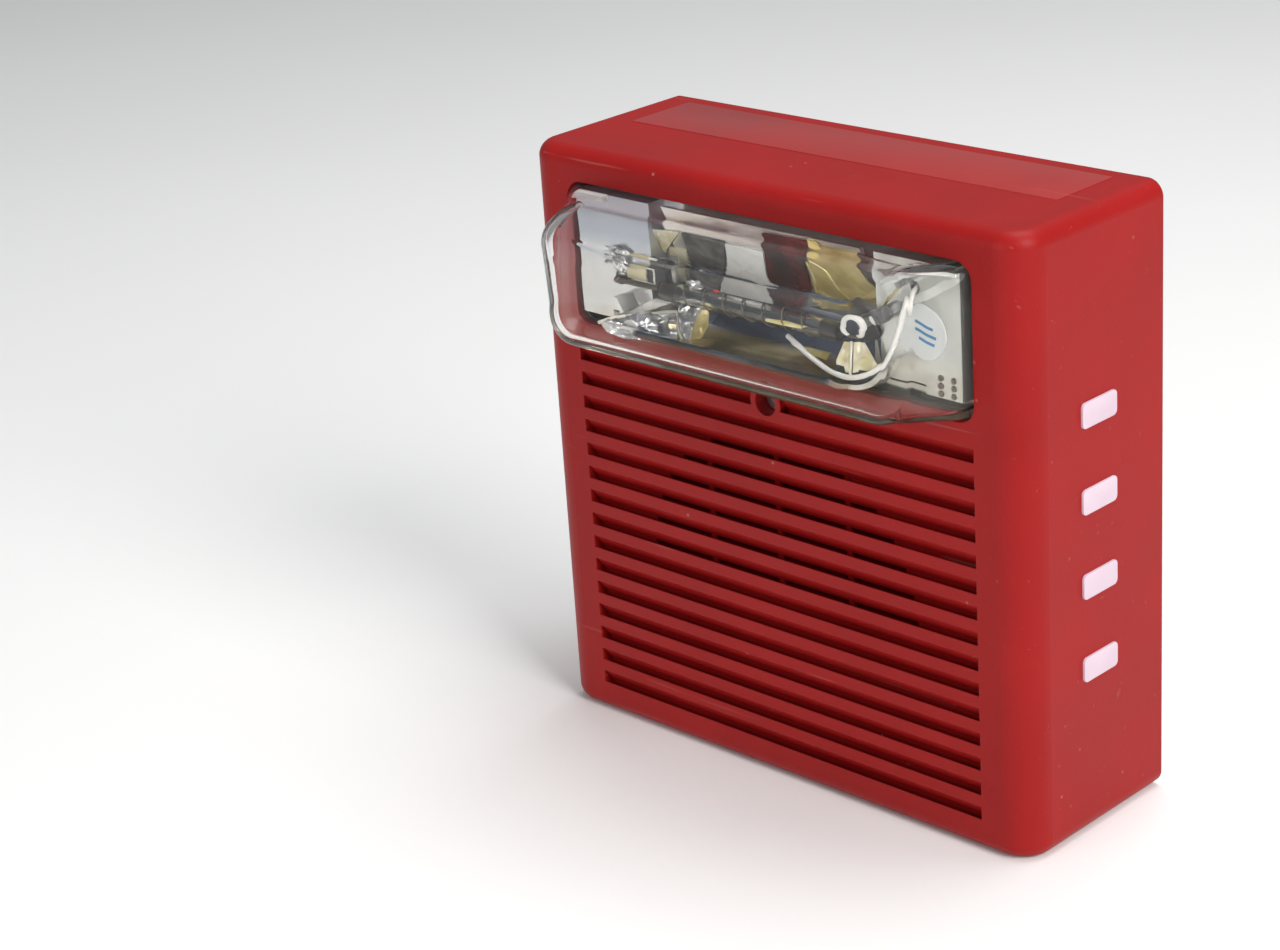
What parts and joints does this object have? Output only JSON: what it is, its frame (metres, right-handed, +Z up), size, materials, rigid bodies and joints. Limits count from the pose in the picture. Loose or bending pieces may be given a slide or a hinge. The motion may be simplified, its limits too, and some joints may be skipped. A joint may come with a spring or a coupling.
{
  "type": "horn strobe",
  "caption": "Wall-mounted square red horn strobe with a louvred sounder grille, a clear window over a flash tube and reflector, and a screw-held housing that lifts off its wall plate.",
  "frame": {"origin": "centre of the back of the wall plate, on the wall plane, midway between the two wall box screws", "axes": "+Z up the wall, +X to the right seen from the front, +Y into the wall, so the front faces -Y"},
  "size_m": [0.149, 0.07, 0.149],
  "materials": {
    "housing_red": "satin fine texture",
    "lens_clear": "clear moulded polycarbonate",
    "seal_black": "matt",
    "mirror_coat": "metallised plastic",
    "tube_glass": "clear",
    "lead_wire": "dull tinned",
    "sleeve_black": "matt",
    "trigger_wire": "dark oxidised",
    "wire_white": "soft insulation",
    "tinned_metal": "tinned",
    "label_white": "printed film",
    "board_green": "solder resist",
    "capacitor_sleeve": "shrink sleeve",
    "coil_tape": "polyester tape",
    "copper_winding": "enamelled copper",
    "package_black": "moulded",
    "screw_steel": "zinc plated",
    "horn_black": "moulded",
    "diaphragm_brass": "thin sheet",
    "ceramic": "fired ceramic",
    "pin_brass": "plated",
    "capacitor_blue": "shrink sleeve",
    "parts_tan": "lacquer",
    "ribbon_grey": "flat cable",
    "terminal_green": "moulded",
    "switch_red": "moulded",
    "lever_white": "moulded",
    "cover_black": "moulded",
    "foam_grey": "foam",
    "plate_grey": "moulded"
  },
  "bodies": {
    "wall_side": {"wall_plate": "plate_grey", "plate_seal": "foam_grey", "screw_insert": "pin_brass"},
    "housing": {"front_housing": "housing_red", "lens_cover": "lens_clear", "lens_seal": "seal_black", "reflector": "mirror_coat", "flash_tube": "tube_glass", "tube_leads": "lead_wire", "tube_sleeves": "sleeve_black", "trigger_winding": "trigger_wire", "trigger_lead": "wire_white", "tube_lug": "tinned_metal", "rating_label": "label_white", "strobe_board": "board_green", "flash_capacitor": "capacitor_sleeve", "trigger_coil": "coil_tape", "inverter_choke": "copper_winding", "switching_transistor": "package_black", "reflector_screws": "screw_steel", "strobe_board_screws": "screw_steel", "sounder_seal": "seal_black", "sounder_horn": "horn_black", "diaphragm": "diaphragm_brass", "piezo_disc": "ceramic", "sounder_back": "horn_black", "sounder_screws": "screw_steel", "sounder_pins": "pin_brass", "main_board": "board_green", "main_board_screws": "screw_steel", "controller_chip": "package_black", "board_capacitors": "capacitor_blue", "small_parts": "parts_tan", "board_ribbon": "ribbon_grey", "terminal_block": "terminal_green", "switch_body": "switch_red", "back_cover": "cover_black", "back_cover_screws": "screw_steel"},
    "cover_screw_body": {"cover_screw": "screw_steel", "cover_screw_ring": "seal_black"},
    "terminal_screw_1_body": {"terminal_screw_1": "pin_brass"},
    "switch_lever_1_body": {"switch_lever_1": "lever_white"},
    "terminal_screw_2_body": {"terminal_screw_2": "pin_brass"},
    "switch_lever_2_body": {"switch_lever_2": "lever_white"},
    "terminal_screw_3_body": {"terminal_screw_3": "pin_brass"},
    "switch_lever_3_body": {"switch_lever_3": "lever_white"},
    "terminal_screw_4_body": {"terminal_screw_4": "pin_brass"},
    "switch_lever_4_body": {"switch_lever_4": "lever_white"}
  },
  "joints": [
    {"name": "housing_lift", "type": "slide", "parent": "wall_side", "child": "housing", "axis": [0, -1, 0], "range_m": [0, 0.06]},
    {"name": "cover_screw_turn", "type": "hinge", "parent": "housing", "child": "cover_screw_body", "pos_m": [0, -0.045, 0.0225], "axis": [0, -1, 0], "continuous": true},
    {"name": "terminal_screw_1_turn", "type": "hinge", "parent": "housing", "child": "terminal_screw_1_body", "pos_m": [-0.01425, -0.0105, -0.051], "axis": [0, 1, 0], "continuous": true},
    {"name": "terminal_screw_2_turn", "type": "hinge", "parent": "housing", "child": "terminal_screw_2_body", "pos_m": [-0.00475, -0.0105, -0.051], "axis": [0, 1, 0], "continuous": true},
    {"name": "terminal_screw_3_turn", "type": "hinge", "parent": "housing", "child": "terminal_screw_3_body", "pos_m": [0.00475, -0.0105, -0.051], "axis": [0, 1, 0], "continuous": true},
    {"name": "terminal_screw_4_turn", "type": "hinge", "parent": "housing", "child": "terminal_screw_4_body", "pos_m": [0.01425, -0.0105, -0.051], "axis": [0, 1, 0], "continuous": true},
    {"name": "switch_lever_1_slide", "type": "slide", "parent": "housing", "child": "switch_lever_1_body", "axis": [0, 0, 1], "range_m": [0, 0.002]},
    {"name": "switch_lever_2_slide", "type": "slide", "parent": "housing", "child": "switch_lever_2_body", "axis": [0, 0, 1], "range_m": [0, 0.002]},
    {"name": "switch_lever_3_slide", "type": "slide", "parent": "housing", "child": "switch_lever_3_body", "axis": [0, 0, 1], "range_m": [0, 0.002]},
    {"name": "switch_lever_4_slide", "type": "slide", "parent": "housing", "child": "switch_lever_4_body", "axis": [0, 0, 1], "range_m": [0, 0.002]}
  ]
}
